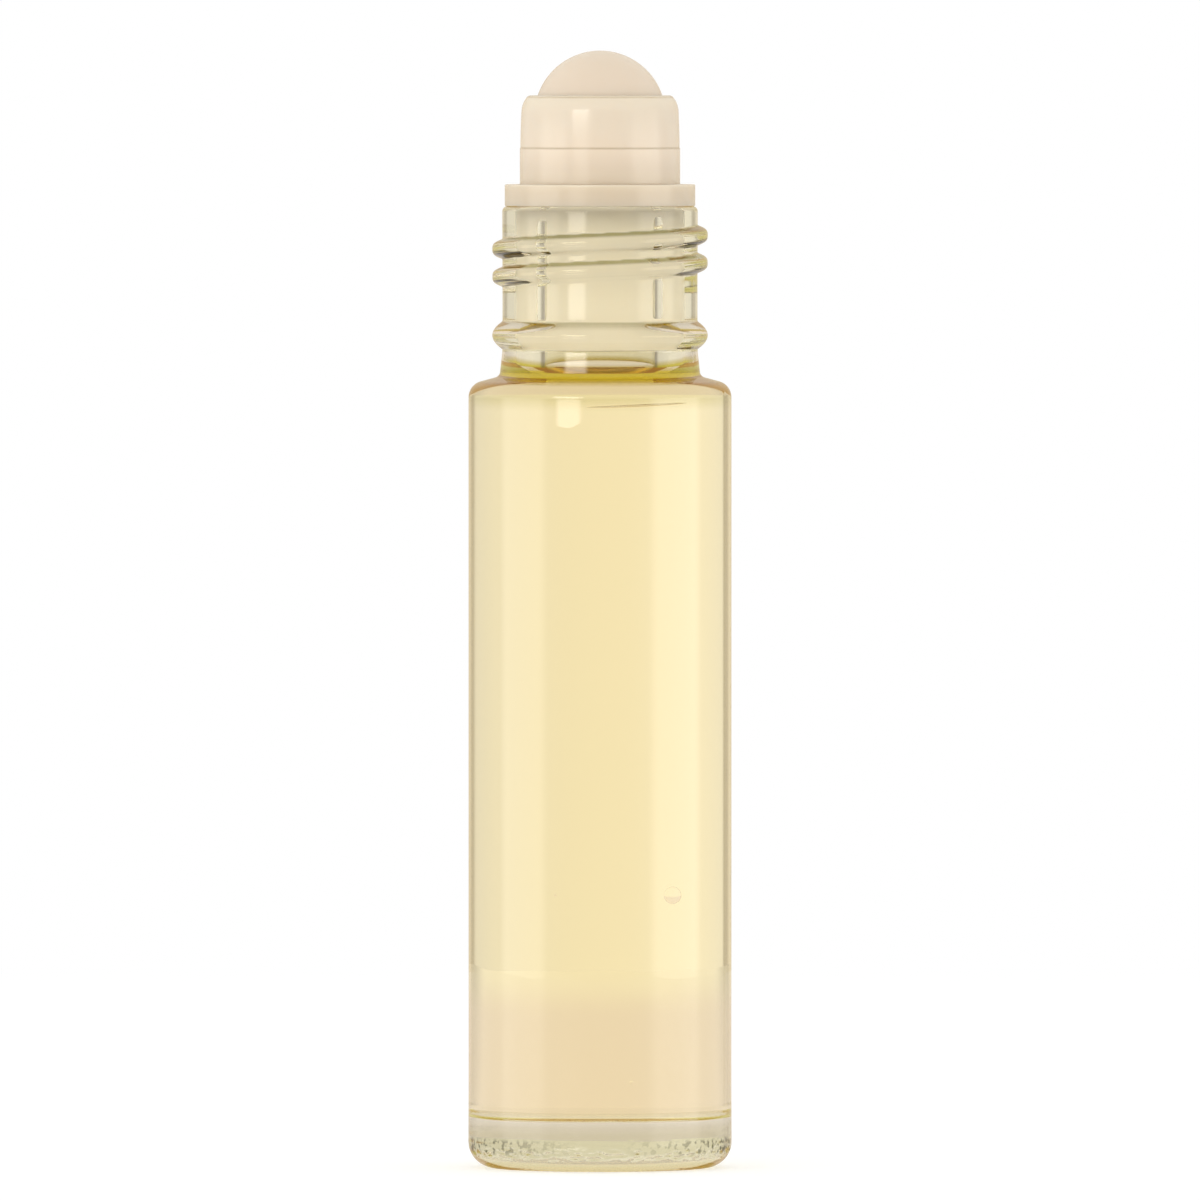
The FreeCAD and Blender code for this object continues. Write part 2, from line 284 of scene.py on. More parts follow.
# Name, bearing from the camera, half width, both in degrees, lower and upper edge in metres, brightness
SOFTBOXES = (
    ("softbox_left", -72.5, 27.5, -0.05, 0.13, 1.3),
    ("softbox_right", 71.5, 30.5, -0.05, 0.13, 1.5),
    ("softbox_window", -27.5, 13.0, 0.043, 0.070, 3.2),
    ("softbox_key", -28.5, 16.0, 0.14, 0.27, 5.2),
)
# A square metre of lamp needs this many watts for a brightness of one
WATTS_PER_AREA = 4.0
# The share of a lamp's half width over which its light fades
LAMP_EDGE = 0.45


def soften_sides(lamp_data):
    """Let a lamp's light rise from nothing at its left and right side over a share of its half width."""
    lamp_data.use_nodes = True
    tree = lamp_data.node_tree
    tree.nodes.clear()
    across = parts_of(tree, add(tree, "ShaderNodeNewGeometry").outputs["Parametric"])
    off_middle = math_of(tree, "ABSOLUTE", math_of(tree, "SUBTRACT", across["X"], 0.5))
    fade = ranged(tree, off_middle, 0.5, 0.5 - LAMP_EDGE / 2, curve="SMOOTHSTEP")
    glow = add(tree, "ShaderNodeEmission", {"Strength": fade})
    add(tree, "ShaderNodeOutputLight", {"Surface": glow})


for name, bearing_deg, half_deg, low_z, high_z, brightness in SOFTBOXES:
    angle = math.radians(bearing_deg)
    lamp_data = bpy.data.lights.new(name, "AREA")
    lamp_data.shape = "RECTANGLE"
    lamp_data.size = 2 * LAMP_DISTANCE * math.tan(math.radians(half_deg))
    lamp_data.size_y = high_z - low_z
    lamp_data.color = linear(ROOM_COLOUR)[:3]
    lamp_data.energy = WATTS_PER_AREA * brightness * lamp_data.size * lamp_data.size_y
    soften_sides(lamp_data)
    lamp = bpy.data.objects.new(name, lamp_data)
    scene.collection.objects.link(lamp)
    lamp.location = (
        LAMP_DISTANCE * math.sin(angle),
        -LAMP_DISTANCE * math.cos(angle),
        (low_z + high_z) / 2,
    )
    lamp.rotation_euler = (math.pi / 2, 0.0, angle)
    lamp.visible_camera = False
    lamp.visible_transmission = False
    print(name, round(lamp_data.energy, 2), "W")

# %% [markdown]
# ## Surfaces from arrays
# Nearly every piece here is round, so one function carries a half section about the axis: the
# section is a list of points, the turn is a list of angles, and their product is a grid. A row
# that has shrunk to a point on the axis becomes one vertex with a fan of triangles, so poles and
# seams are closed.

# %% Mesh helpers
COLUMNS = 256


def angles(count=COLUMNS):
    """Evenly spaced angles of one turn, without the repeated end."""
    return np.arange(count) * (2 * np.pi / count)


def straight(start, end, step=1.0, hold=0.04):
    """Points of a straight run, with one close to each end so that smooth shading stays flat."""
    start, end = np.array(start, float), np.array(end, float)
    length = np.hypot(*(end - start))
    near = min(hold / length, 0.25)
    inner = np.linspace(near, 1 - near, max(2, int(round(length / step))))
    share = np.concatenate([[0.0], inner, [1.0]])
    return start + share[:, None] * (end - start)


def arc(centre, radius, first_deg, last_deg, count=8):
    """Points of a circular arc: centre plus radius times (cos, sin) of evenly spaced angles."""
    turn = np.radians(np.linspace(first_deg, last_deg, count))
    return np.array(centre) + radius * np.stack([np.cos(turn), np.sin(turn)], axis=1)


def joined(*parts):
    """Runs and arcs end to end, without the points that repeat where they meet."""
    points = np.concatenate(parts)
    apart = np.hypot(*np.diff(points, axis=0).T) > 1e-6
    return points[np.concatenate([[True], apart])]


def turned_points(section, turn):
    """Carry a section of (radius, height) about Z: x = r cos a, y = r sin a, z = height."""
    radius, height = section[:, :1], section[:, 1:]
    spread = np.ones_like(turn)[None, :]
    return np.stack([radius * np.cos(turn), radius * np.sin(turn), height * spread], axis=2)


def sphere_grid(size, rows, columns, facing=1):
    """Sphere by latitude and longitude: radius times (cos lat cos lon, cos lat sin lon, sin lat)."""
    latitude = facing * np.linspace(-np.pi / 2, np.pi / 2, rows)
    section = size * np.stack([np.cos(latitude), np.sin(latitude)], axis=1)
    section[[0, -1], 0] = 0.0
    return turned_points(section, angles(columns))


def grid_faces(index, close_rows):
    """Quads between the neighbours of an index grid whose columns close on themselves."""
    rows = np.vstack([index, index[:1]]) if close_rows else index
    low, high = rows[:-1], rows[1:]
    return np.stack([low, np.roll(low, -1, 1), np.roll(high, -1, 1), high], axis=2)


def put_mesh(name, points, quads, triangles, materials, material_of_face=None):
    """A mesh object from point, quad and triangle arrays, in millimetres, smooth shaded."""
    corners = np.concatenate([quads.ravel(), triangles.ravel()]).astype(np.int32)
    sizes = np.concatenate([np.full(len(quads), 4), np.full(len(triangles), 3)])
    starts = np.concatenate([[0], np.cumsum(sizes)[:-1]]).astype(np.int32)
    mesh = bpy.data.meshes.new(name)
    mesh.vertices.add(len(points))
    mesh.vertices.foreach_set("co", (points * MM).astype(np.float32).ravel())
    mesh.loops.add(len(corners))
    mesh.loops.foreach_set("vertex_index", corners)
    mesh.polygons.add(len(sizes))
    mesh.polygons.foreach_set("loop_start", starts)
    mesh.polygons.foreach_set("use_smooth", np.ones(len(sizes), bool))
    if material_of_face is not None:
        mesh.polygons.foreach_set("material_index", material_of_face.astype(np.int32))
    mesh.update(calc_edges=True)
    mesh.validate()
    for material in materials:
        mesh.materials.append(material)
    piece = bpy.data.objects.new(name, mesh)
    scene.collection.objects.link(piece)
    return piece


def round_arrays(grid, close_rows=False):
    """Points, quads and triangles of a turned grid; end rows on the axis become single points."""
    rows, columns, _ = grid.shape
    index = np.arange(rows * columns).reshape(rows, columns)
    first = not close_rows and np.ptp(grid[0], axis=0).max() < 1e-9
    last = not close_rows and np.ptp(grid[-1], axis=0).max() < 1e-9
    faces = grid_faces(index, close_rows)
    fans = []
    if first:
        fans.append(np.stack([np.full(columns, index[0, 0]), faces[0, :, 2], faces[0, :, 3]], axis=1))
        faces = faces[1:]
    if last:
        fans.append(np.stack([faces[-1, :, 0], faces[-1, :, 1], np.full(columns, index[-1, 0])], axis=1))
        faces = faces[:-1]
    triangles = np.concatenate(fans) if fans else np.zeros((0, 3), int)
    quads = faces.reshape(-1, 4)
    corners = np.concatenate([quads.ravel(), triangles.ravel()])
    used, renumbered = np.unique(corners, return_inverse=True)
    points = grid.reshape(-1, 3)[used]
    split = quads.size
    return points, renumbered[:split].reshape(-1, 4), renumbered[split:].reshape(-1, 3)


# %% [markdown]
# ## The glass bottle
# The real bottle is blown into a two-part mould, then the neck and its thread are pressed. Its
# outside is crisp, its inside is only as smooth as the air that shaped it. The mesh starts at
# the middle of the base, runs up the outside, over the lip and down the inside to the floor, as
# one closed skin. The thread is added as a height on that skin: a round ridge whose middle climbs
# with the angle and sinks into the neck at both ends.

# %% Section of the bottle
HEEL_RADIUS = 2.0
PUNT_R, PUNT_DEPTH = 6.0, 0.6
SHOULDER_START_Z, SHOULDER_RADIUS, SLOPE_DEG = 58.5, 1.25, 15.0
NECK_R, BORE_R, FOOT_FLARE, FOOT_RADIUS = 7.42, 4.2, 0.18, 0.5
LIP_RADIUS = 0.4
FLOOR_RADIUS, INNER_SHOULDER_RADIUS, THROAT_RADIUS = 1.6, 1.6, 1.2
BEAD_DROP, BEAD_STAND, BEAD_HALF = 9.8, 0.78, 1.06
THREAD_ZONE_STEP = 0.085

slope = math.radians(SLOPE_DEG)
BODY_WALL = BODY_R - INNER_R
shoulder_end = np.array([
    BODY_R - SHOULDER_RADIUS * (1 - math.sin(slope)),
    SHOULDER_START_Z + SHOULDER_RADIUS * math.cos(slope),
])
foot_r = NECK_R + FOOT_FLARE
foot_z = shoulder_end[1] + (shoulder_end[0] - foot_r) * math.tan(slope)
foot_tangent = FOOT_RADIUS * math.tan((math.pi / 2 - slope) / 2)
BEAD_Z = LIP_Z - BEAD_DROP


def outer_section():
    """Half section of the outside, from the middle of the base up to the flat of the lip."""
    punt_arc_r = (PUNT_R ** 2 + PUNT_DEPTH ** 2) / (2 * PUNT_DEPTH)
    punt_half = math.degrees(math.asin(PUNT_R / punt_arc_r))
    foot_start = (foot_r + foot_tangent * math.cos(slope), foot_z - foot_tangent * math.sin(slope))
    foot_centre = (foot_r + FOOT_RADIUS, foot_z + foot_tangent)
    return joined(
        arc((0, PUNT_DEPTH - punt_arc_r), punt_arc_r, 90, 90 - punt_half, 24),
        straight((PUNT_R, 0), (BODY_R - HEEL_RADIUS, 0), 0.12),
        arc((BODY_R - HEEL_RADIUS, HEEL_RADIUS), HEEL_RADIUS, -90, 0, 32),
        straight((BODY_R, HEEL_RADIUS), (BODY_R, SHOULDER_START_Z), 1.4),
        arc((BODY_R - SHOULDER_RADIUS, SHOULDER_START_Z), SHOULDER_RADIUS, 0, 90 - SLOPE_DEG, 12),
        straight(shoulder_end, foot_start, 0.25),
        arc(foot_centre, FOOT_RADIUS, 270 - SLOPE_DEG, 180, 14),
        straight((foot_r, foot_z + foot_tangent), (NECK_R, BEAD_Z - BEAD_HALF), 0.15),
        straight((NECK_R, BEAD_Z - BEAD_HALF), (NECK_R, LIP_Z - LIP_RADIUS), THREAD_ZONE_STEP),
        arc((NECK_R - LIP_RADIUS, LIP_Z - LIP_RADIUS), LIP_RADIUS, 0, 90, 7),
    )


def inner_section():
    """Half section of the inside, from the lip down to the middle of the floor."""
    inner_slope_z = foot_z - BODY_WALL / math.cos(slope)
    edge_z = inner_slope_z - (INNER_R - foot_r) * math.tan(slope)
    throat_z = inner_slope_z + (foot_r - BORE_R) * math.tan(slope)
    half_turn = math.tan((math.pi / 2 - slope) / 2)
    inner_tangent = INNER_SHOULDER_RADIUS * half_turn
    throat_tangent = THROAT_RADIUS * half_turn
    slope_in = (BORE_R + throat_tangent * math.cos(slope), throat_z - throat_tangent * math.sin(slope))
    slope_out = (INNER_R - inner_tangent * math.cos(slope), edge_z + inner_tangent * math.sin(slope))
    shoulder_centre = (INNER_R - INNER_SHOULDER_RADIUS, edge_z - inner_tangent)
    return joined(
        arc((BORE_R + LIP_RADIUS, LIP_Z - LIP_RADIUS), LIP_RADIUS, 90, 180, 7),
        straight((BORE_R, LIP_Z - LIP_RADIUS), (BORE_R, throat_z + throat_tangent), 0.5),
        arc((BORE_R + THROAT_RADIUS, throat_z + throat_tangent), THROAT_RADIUS, 180, 270 - SLOPE_DEG, 10),
        straight(slope_in, slope_out, 0.4),
        arc(shoulder_centre, INNER_SHOULDER_RADIUS, 90 - SLOPE_DEG, 0, 10),
        straight((INNER_R, edge_z - inner_tangent), (INNER_R, FLOOR_Z + FLOOR_RADIUS), 2.0),
        arc((INNER_R - FLOOR_RADIUS, FLOOR_Z + FLOOR_RADIUS), FLOOR_RADIUS, 0, -90, 12),
        straight((INNER_R - FLOOR_RADIUS, FLOOR_Z), (0, FLOOR_Z), 1.2),
    )


outside = outer_section()
inside = inner_section()
print("outside", len(outside), "points, inside", len(inside), "points")

# %% [markdown]
# The ridges on the neck are one formula: stand times (1 minus a power of the distance from the
# crest over the half width), rounded off where it meets zero. The power is 2 for the bead and a
# little over 3 for the fuller thread. For the bead that distance is plain height. For the thread
# the crest's height grows by one pitch per turn, and its stand sinks below zero past the two ends,
# so the ridge dies out as the real one does.

# %% Ridges on the outside
THREAD_PITCH, THREAD_TURNS, THREAD_DROP = 2.1, 1.92, 1.97
THREAD_START_DEG, THREAD_STAND, THREAD_HALF = 70.0, 0.77, 0.74
# The ridge's share of its full stand at its very end, what it gains over the fade, and its lowest
THREAD_FADE_DEG, THREAD_END_SHARE, THREAD_GAIN, THREAD_SUNK = 80.0, 0.5, 1.2, -0.6
THREAD_FULLNESS = 3.2
ROOT_SOFTNESS = 0.04
SEAM_DEG, SEAM_STAND, SEAM_HALF_DEG, SEAM_RUN_IN = -18.0, 0.02, 0.8, 5.0


def soft_positive(height, softness=ROOT_SOFTNESS):
    """The height where it is above zero and nearly nothing below, with a small fillet between."""
    return (height + np.sqrt(height ** 2 + softness ** 2)) / 2


def thread_height(turn, z):
    """Height of the thread ridge at an angle and a height, the highest of its neighbouring turns."""
    start = np.radians(THREAD_START_DEG)
    end = start + 2 * np.pi * THREAD_TURNS
    fade = np.radians(THREAD_FADE_DEG)
    start_z = LIP_Z - THREAD_DROP - THREAD_PITCH * THREAD_TURNS
    ridges = []
    for lap in range(int(THREAD_TURNS) + 2):
        along = turn + 2 * np.pi * lap
        crest = start_z + THREAD_PITCH * (along - start) / (2 * np.pi)
        inside_run = np.minimum(along - start, end - along) / fade
        strength = np.clip(THREAD_END_SHARE + THREAD_GAIN * inside_run, THREAD_SUNK, 1.0)
        ridges.append(THREAD_STAND * (strength - np.abs((z - crest) / THREAD_HALF) ** THREAD_FULLNESS))
    return soft_positive(np.max(ridges, axis=0))


def bead_height(z):
    """Height of the transfer bead below the thread."""
    return soft_positive(BEAD_STAND * (1 - ((z - BEAD_Z) / BEAD_HALF) ** 2))


def seam_height(turn):
    """The two fine lines where the halves of the mould met, half a turn apart."""
    off = np.abs(np.degrees(np.angle(np.exp(2j * (turn - np.radians(SEAM_DEG))))) / 2)
    return SEAM_STAND * np.exp(-(off / SEAM_HALF_DEG) ** 2)


# %% [markdown]
# The standing ring under the base is stippled: small hollows leave short bars to stand on, which
# keep the bottle from being scratched by the belt in the glassworks. Fine random pits roughen the
# heel above it. The dark specks that show there are painted shade, which the material adds further
# down, and so is the olive of each ridge's upper flank, for which the slope is worked out here.

# %% Stipple and the whole skin
STIPPLE_DEPTH, STIPPLE_LOW_R, STIPPLE_HIGH_R = 0.2, 6.3, 8.9
# Waves round the ring, how far they sway, how often they sway, and their slant by the radius
STIPPLE_WAVES = ((58, 3, 5, 5.3), (41, -2, 9, -4.1))
KNURL_DEPTH, KNURL_LOW_Z, KNURL_HIGH_Z, KNURL_SEED = 0.2, 0.75, 1.93, 5
# The random value from which a pit begins, and the rise to its full depth
KNURL_START, KNURL_RISE = 0.58, 0.3
# The slopes at which the painted olive shade of a ridge's upper flank begins and is full
FLANK_STEP, FLANK_SLOPES = 0.02, (0.6, 1.6)


def stipple(turn, radius):
    """Hollows in the standing ring: the positive part of a product of two uneven waves."""
    first, second = (
        np.sin(count * turn + sway * np.sin(sway_count * turn) + slant * radius)
        for count, sway, sway_count, slant in STIPPLE_WAVES
    )
    middle = (STIPPLE_LOW_R + STIPPLE_HIGH_R) / 2
    half = (STIPPLE_HIGH_R - STIPPLE_LOW_R) / 2
    inside_ring = np.clip(2.0 - 2.0 * np.abs(radius - middle) / half, 0, 1)
    return STIPPLE_DEPTH * np.clip(first * second, 0, 1) * inside_ring


def between(height, low, high):
    """One between two heights, zero outside: twice the distance to the nearer one, held at one."""
    return np.clip(2 * np.minimum(height - low, high - height), 0, 1)


def knurl(turn, z):
    """Fine uneven pits round the heel: random depths, evened with neighbours, only the deepest kept."""
    field = np.random.default_rng(KNURL_SEED).random((len(z), len(turn)))
    field = (field + np.roll(field, 1, axis=1) + np.roll(field, 1, axis=0)) / 3
    pits = np.clip((field - KNURL_START) / KNURL_RISE, 0, 1)
    return KNURL_DEPTH * pits * between(z, KNURL_LOW_Z, KNURL_HIGH_Z)


def bottle_grid(outer_line, inner_line, turn):
    """Outside, lip and inside of the bottle as one grid of points."""
    outer = turned_points(outer_line, turn)
    radius, height = outer_line[:, :1], outer_line[:, 1:]
    on_neck = (height > foot_z + foot_tangent) & (height < LIP_Z - LIP_RADIUS)
    on_side = np.clip(np.minimum(height - HEEL_RADIUS, LIP_Z - LIP_RADIUS - height) / SEAM_RUN_IN, 0, 1)
    grow = np.where(on_neck, thread_height(turn, height) + bead_height(height), 0.0)
    grow = grow + on_side * (seam_height(turn) - SEAM_STAND) - knurl(turn, height)
    outer[:, :, 0] += grow * np.cos(turn)
    outer[:, :, 1] += grow * np.sin(turn)
    under = height < HEEL_RADIUS
    outer[:, :, 2] += np.where(under, stipple(turn, radius), 0.0)
    return np.concatenate([outer, turned_points(inner_line, turn)])


def flank_shade_mask(points):
    """Where the olive of painted shade goes: one where a ridge on the neck falls steeply towards the lip,
    else zero: its slope by height.
    """
    turn = np.arctan2(points[:, 1], points[:, 0]) % (2 * np.pi)
    below, above = points[:, 2] - FLANK_STEP, points[:, 2] + FLANK_STEP
    fall = thread_height(turn, below) + bead_height(below) - thread_height(turn, above) - bead_height(above)
    begins, full = FLANK_SLOPES
    share = (fall / (2 * FLANK_STEP) - begins) / (full - begins)
    outside_neck = np.hypot(points[:, 0], points[:, 1]) > NECK_R - SEAM_STAND - ROOT_SOFTNESS
    return np.where(outside_neck & (points[:, 2] > foot_z), np.clip(share, 0, 1), 0.0)


skin_points, skin_quads, skin_fans = round_arrays(bottle_grid(outside, inside, angles()))
print("bottle:", 2 * len(skin_quads) + len(skin_fans), "triangles")

# %% [markdown]
# ## The oil
# A liquid fills its vessel, so the oil's body is the inside of the bottle again, a hair smaller,
# with a free surface on top. Oil wets glass: it climbs the wall of the neck in a meniscus.
# Light that crosses from glass to oil hardly bends, because their refractive indices are nearly
# equal. Blender's glass always reckons with air outside, so the wetted faces of the bottle are
# left clear, and the body of the oil, which only colours the light, gets an index of one. Where
# oil meets air, a thin sheet with the oil's own index does the bending: just under the free
# surface, and round a sliver of air under the shoulder. The few droplets on the wall are faint, so
# they get a low index.

# %% Oil mesh
# The gap to the glass, and how far below the line of contact the wetted wall ends
OIL_GAP, WET_MARGIN = 0.01, 0.05
OIL_COLUMNS, DROPLET_ROWS, DROPLET_COLUMNS = 192, 25, 36
MENISCUS_RISE, MENISCUS_REACH = 1.2, 1.1
MENISCUS_DIP = 0.95
CONTACT_Z = OIL_Z + MENISCUS_RISE - MENISCUS_DIP
# Angle, height and radius of the droplets that cling to the wall
DROPLETS = ((-49.0, 20.9, 0.66), (-113.0, 21.0, 0.12), (-74.0, 6.8, 0.13))
# The sliver of air under the shoulder: first and last angle, its two heights, and its thickness
SLIVER_DEG, SLIVER_Z, SLIVER_R = (-97.0, -38.0), (57.85, 58.15), 0.08


def oil_surface(inset):
    """Half section of the free surface, from the wall inwards: a rise that fades from the wall."""
    radius = (BORE_R - OIL_GAP - inset) * np.cos(np.linspace(0, np.pi / 2, 24))
    rise = MENISCUS_RISE * np.exp(-(BORE_R - radius) / MENISCUS_REACH)
    radius[-1] = 0.0
    return np.stack([radius, OIL_Z - MENISCUS_DIP + rise - inset], axis=1)


def oil_body_grid():
    """The wetted inside of the bottle from the floor up, then the free surface to the axis."""
    wet = inside[inside[:, 1] < CONTACT_Z - WET_MARGIN][::-1]
    gap = np.stack([np.where(wet[:, 0] > 0, OIL_GAP, 0.0), np.full(len(wet), -OIL_GAP)], axis=1)
    return turned_points(joined(wet - gap, oil_surface(0.0)), angles(OIL_COLUMNS))


def droplet_grid(angle_deg, height, size):
    """A small sphere inside the wall, its rows run from the top so that it faces its own middle."""
    away = INNER_R - size - 3 * OIL_GAP
    turn = math.radians(angle_deg)
    centre = (away * math.cos(turn), away * math.sin(turn), height)
    return sphere_grid(size, DROPLET_ROWS, DROPLET_COLUMNS, facing=-1) + np.array(centre)


def sliver_grid(rows=60, columns=12):
    """A thin bent tube of air along the wall: its thickness grows with the sine of the way along."""
    share = np.linspace(0, 1, rows)[:, None]
    turn = np.radians(SLIVER_DEG[0] + share * (SLIVER_DEG[1] - SLIVER_DEG[0]))
    height = SLIVER_Z[0] + share * (SLIVER_Z[1] - SLIVER_Z[0])
    wall = np.interp(height, inside[::-1, 1], inside[::-1, 0])
    thickness = SLIVER_R * np.sin(np.pi * share) ** 0.5
    round_it = angles(columns)[None, :]
    radius = wall - 3 * SLIVER_R + thickness * np.cos(round_it)
    return np.stack(
        [radius * np.cos(turn), radius * np.sin(turn), height + thickness * np.sin(round_it)], axis=2
    )


def gathered(parts):
    """Several (points, quads, triangles) as one, and which part each face came from."""
    starts = np.cumsum([0] + [len(part[0]) for part in parts[:-1]])
    points = np.concatenate([part[0] for part in parts])
    quads, triangles = (
        np.concatenate([part[kind] + start for part, start in zip(parts, starts)]) for kind in (1, 2)
    )
    owners = [np.repeat(np.arange(len(parts)), [len(part[kind]) for part in parts]) for kind in (1, 2)]
    return points, quads, triangles, np.concatenate(owners)


oil_sheet = turned_points(oil_surface(OIL_GAP), angles(OIL_COLUMNS))
oil_parts = [round_arrays(oil_body_grid()), round_arrays(oil_sheet), round_arrays(sliver_grid())]
oil_parts += [round_arrays(droplet_grid(*droplet)) for droplet in DROPLETS]
oil_points, oil_quads, oil_fans, oil_part_of_face = gathered(oil_parts)
print("oil:", 2 * len(oil_quads) + len(oil_fans), "triangles")

# %% [markdown]
# ## Materials of the bottle and the oil
# The glass is soda-lime glass, clear, with a breath of green. The oil is a plain yellow filter: it
# takes blue first, then a little green. It is set as absorption per metre, so the long ways
# through get deeper in colour by themselves.
#
# Some light is caught in the walls and goes round many times before it leaves. A renderer gives
# up on a ray after a few reflections, and it comes out black. On a real bottle such light comes out
# olive from the glass and gold from the oil, so the last surface of a ray like that glows in that
# colour, as painted light.

# %% Glass and oil
GLASS_IOR, OIL_IOR, DROPLET_IOR = 1.52, 1.47, 1.04
# Height and the tint of the glass there, matched: more in the thick base, and in a ring at the foot of
# the neck a deep gold of painted light, which stands for light that has come a long way through the
# oil, a colour that the short way through the oil there doesn't give
GLASS_TINTS_AND_GOLD_LIGHT = (
    (2.8, "#DAD6B7"), (4.4, "#FEFCF2"), (57.5, "#FEFCF2"), (58.6, "#E6E1BC"), (59.45, "#E6E1BC"),
    (59.7, "#AE9806"), (60.7, "#AE9806"), (61.0, "#ECE7D1"),
)
# The oil and the glass differ so little that the floor shows only where it is seen edge-on
FLOOR_IOR = 1.034
OIL_TINT, OIL_DENSITY = "#F8E266", 36.0
# Size, heights and colour of the dark specks of painted shade on the heel, set apart from its pits
SPECK_MM, SPECK_Z, SPECK_SHADE_COLOUR = 0.45, (1.1, 2.2), "#34340F"
# The noise from which a speck begins and is full, the fade at both heights, and the fade sideways
SPECK_NOISE, SPECK_FADE, SPECK_X = (0.5, 0.58), 0.3, (1.5, 8.5)
# The olive of painted shade on each ridge's upper flank
FLANK_SHADE_COLOUR = "#86824E"
# Size and height of the ripple of the skin, and its strength on the glass
RIPPLE_MM, RIPPLE_HEIGHT, SKIN_RIPPLE = 6.0, 0.02, 0.3
# More reflections or more surfaces than these make a ray a late one
LATE_REFLECTIONS, LATE_DEPTH = 3.5, 10.5
# Painted light: the glow that late rays get from the glass and from the wetted glass
LATE_GLASS_GLOW, LATE_OIL_GLOW = "#9A944E", "#C0A018"


def late_rays(tree):
    """One for rays that were reflected too often or met too many surfaces, zero for the rest."""
    path = add(tree, "ShaderNodeLightPath").outputs
    often = math_of(tree, "GREATER_THAN", path["Glossy Depth"], LATE_REFLECTIONS)
    far = math_of(tree, "GREATER_THAN", path["Ray Depth"], LATE_DEPTH)
    return math_of(tree, "MAXIMUM", often, far)


def tone_by_height(tree, tones):
    """Give a material's base colour a ramp over the height: (height in millimetres, colour) stops."""
    low, high = tones[0][0], tones[-1][0]
    share = ranged(tree, parts_of(tree, object_place(tree))["Z"], low * MM, high * MM)
    stops = [((height - low) / (high - low), tone) for height, tone in tones]
    tree.links.new(ramp_of(tree, share, stops), tree.nodes["Principled BSDF"].inputs["Base Color"])


def tint_where(tree, amount, tint):
    """Mix a tint over what already feeds a material's base colour, by an amount from zero to one."""
    base = tree.nodes["Principled BSDF"].inputs["Base Color"]
    tree.links.new(mix_of(tree, amount, base.links[0].from_socket, linear(tint)), base)


def clear_material(name, ior, ripple_strength=0.0, density=0.0, tint="#FFFFFF"):
    """A clear body: smooth refraction, a faint ripple of its skin, and colour taken on the way."""
    material, tree = new_material(name)
    ripple = noise_of(tree, RIPPLE_MM, 1.0)
    sockets = {
        "Base Color": WHITE,
        "Roughness": 0.0,
        "IOR": ior,
        "Transmission Weight": 1.0,
        "Normal": bump_of(tree, ripple, ripple_strength, RIPPLE_HEIGHT),
    }
    body = add(tree, "ShaderNodeBsdfPrincipled", sockets)
    output = add(tree, "ShaderNodeOutputMaterial", {"Surface": body})
    if density > 0:
        depth = add(tree, "ShaderNodeVolumeAbsorption", {"Color": linear(tint), "Density": density})
        tree.links.new(depth.outputs[0], output.inputs["Volume"])
    return material


def bottle_glass():
    """The bottle's own skin: clear glass that answers late rays with a painted glow in the olive of its
    edges.
    """
    material = clear_material("soda_lime_glass", GLASS_IOR, SKIN_RIPPLE)
    tree = material.node_tree
    tone_by_height(tree, GLASS_TINTS_AND_GOLD_LIGHT)
    shade_heel_in_specks(tree)
    # Painted shade: the olive on each ridge's upper flank, by the mask kept on the points
    shaded_flanks = add(tree, "ShaderNodeAttribute", attribute_name="flank_shade_mask")
    tint_where(tree, shaded_flanks.outputs["Fac"], FLANK_SHADE_COLOUR)
    body = tree.nodes["Principled BSDF"]
    body.inputs["Emission Color"].default_value = linear(LATE_GLASS_GLOW)
    tree.links.new(late_rays(tree), body.inputs["Emission Strength"])
    return material


def shade_heel_in_specks(tree):
    """Paint shade on the glass in small dark dots on the heel, most at its left and right: noise above a
    limit.
    """
    parts = parts_of(tree, object_place(tree))
    sideways = math_of(tree, "ABSOLUTE", parts["X"])
    low, high = SPECK_Z
    fades = (
        (parts["Z"], high + SPECK_FADE, high),
        (parts["Z"], low, low + SPECK_FADE),
        (sideways, *SPECK_X),
    )
    amount = ranged(tree, noise_of(tree, SPECK_MM, 2.0), *SPECK_NOISE)
    for value, none_at, full_at in fades:
        amount = math_of(tree, "MULTIPLY", amount, ranged(tree, value, none_at * MM, full_at * MM))
    tint_where(tree, amount, SPECK_SHADE_COLOUR)


def wetted_glass():
    """The inside where oil lies on it: nothing to see, except that late rays get a painted glow in the oil's
    gold.
    """
    material, tree = new_material("soda_lime_glass_wetted")
    clear = add(tree, "ShaderNodeBsdfTransparent")
    gold_glow = add(tree, "ShaderNodeEmission", {"Color": linear(LATE_OIL_GLOW)})
    either = add(tree, "ShaderNodeMixShader", {0: late_rays(tree), 1: clear, 2: gold_glow})
    add(tree, "ShaderNodeOutputMaterial", {"Surface": either})
    return material


# %% [markdown]
# The faces of the bottle are sorted for their material: the skin ends with the rows of the inside,
# and those below the line of contact are wetted, the lowest of them as the floor.

# %% Put the bottle and the oil in the scene
outer_quads = len(skin_quads) - (len(inside) - 2) * COLUMNS
first_inside = ((skin_quads, outer_quads), (skin_fans, COLUMNS))
from_inside = np.concatenate([np.arange(len(faces)) >= first for faces, first in first_inside])
face_z = np.concatenate([skin_points[faces][:, :, 2].mean(axis=1) for faces, _ in first_inside])
wetted = from_inside & (face_z < CONTACT_Z)
on_floor = wetted & (face_z < FLOOR_Z + FLOOR_RADIUS / 2)

glasses = (bottle_glass(), wetted_glass(), clear_material("soda_lime_glass_floor", FLOOR_IOR))
glass_of_face = wetted.astype(int) + on_floor
bottle = put_mesh("bottle_glass", skin_points, skin_quads, skin_fans, glasses, glass_of_face)
# Keep the mask of the painted olive shade on the points
flank_shade_values = bottle.data.attributes.new("flank_shade_mask", "FLOAT", "POINT").data
flank_shade_values.foreach_set("value", flank_shade_mask(skin_points).astype(np.float32))
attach(bottle, "bottle")
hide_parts("glass_bottle")

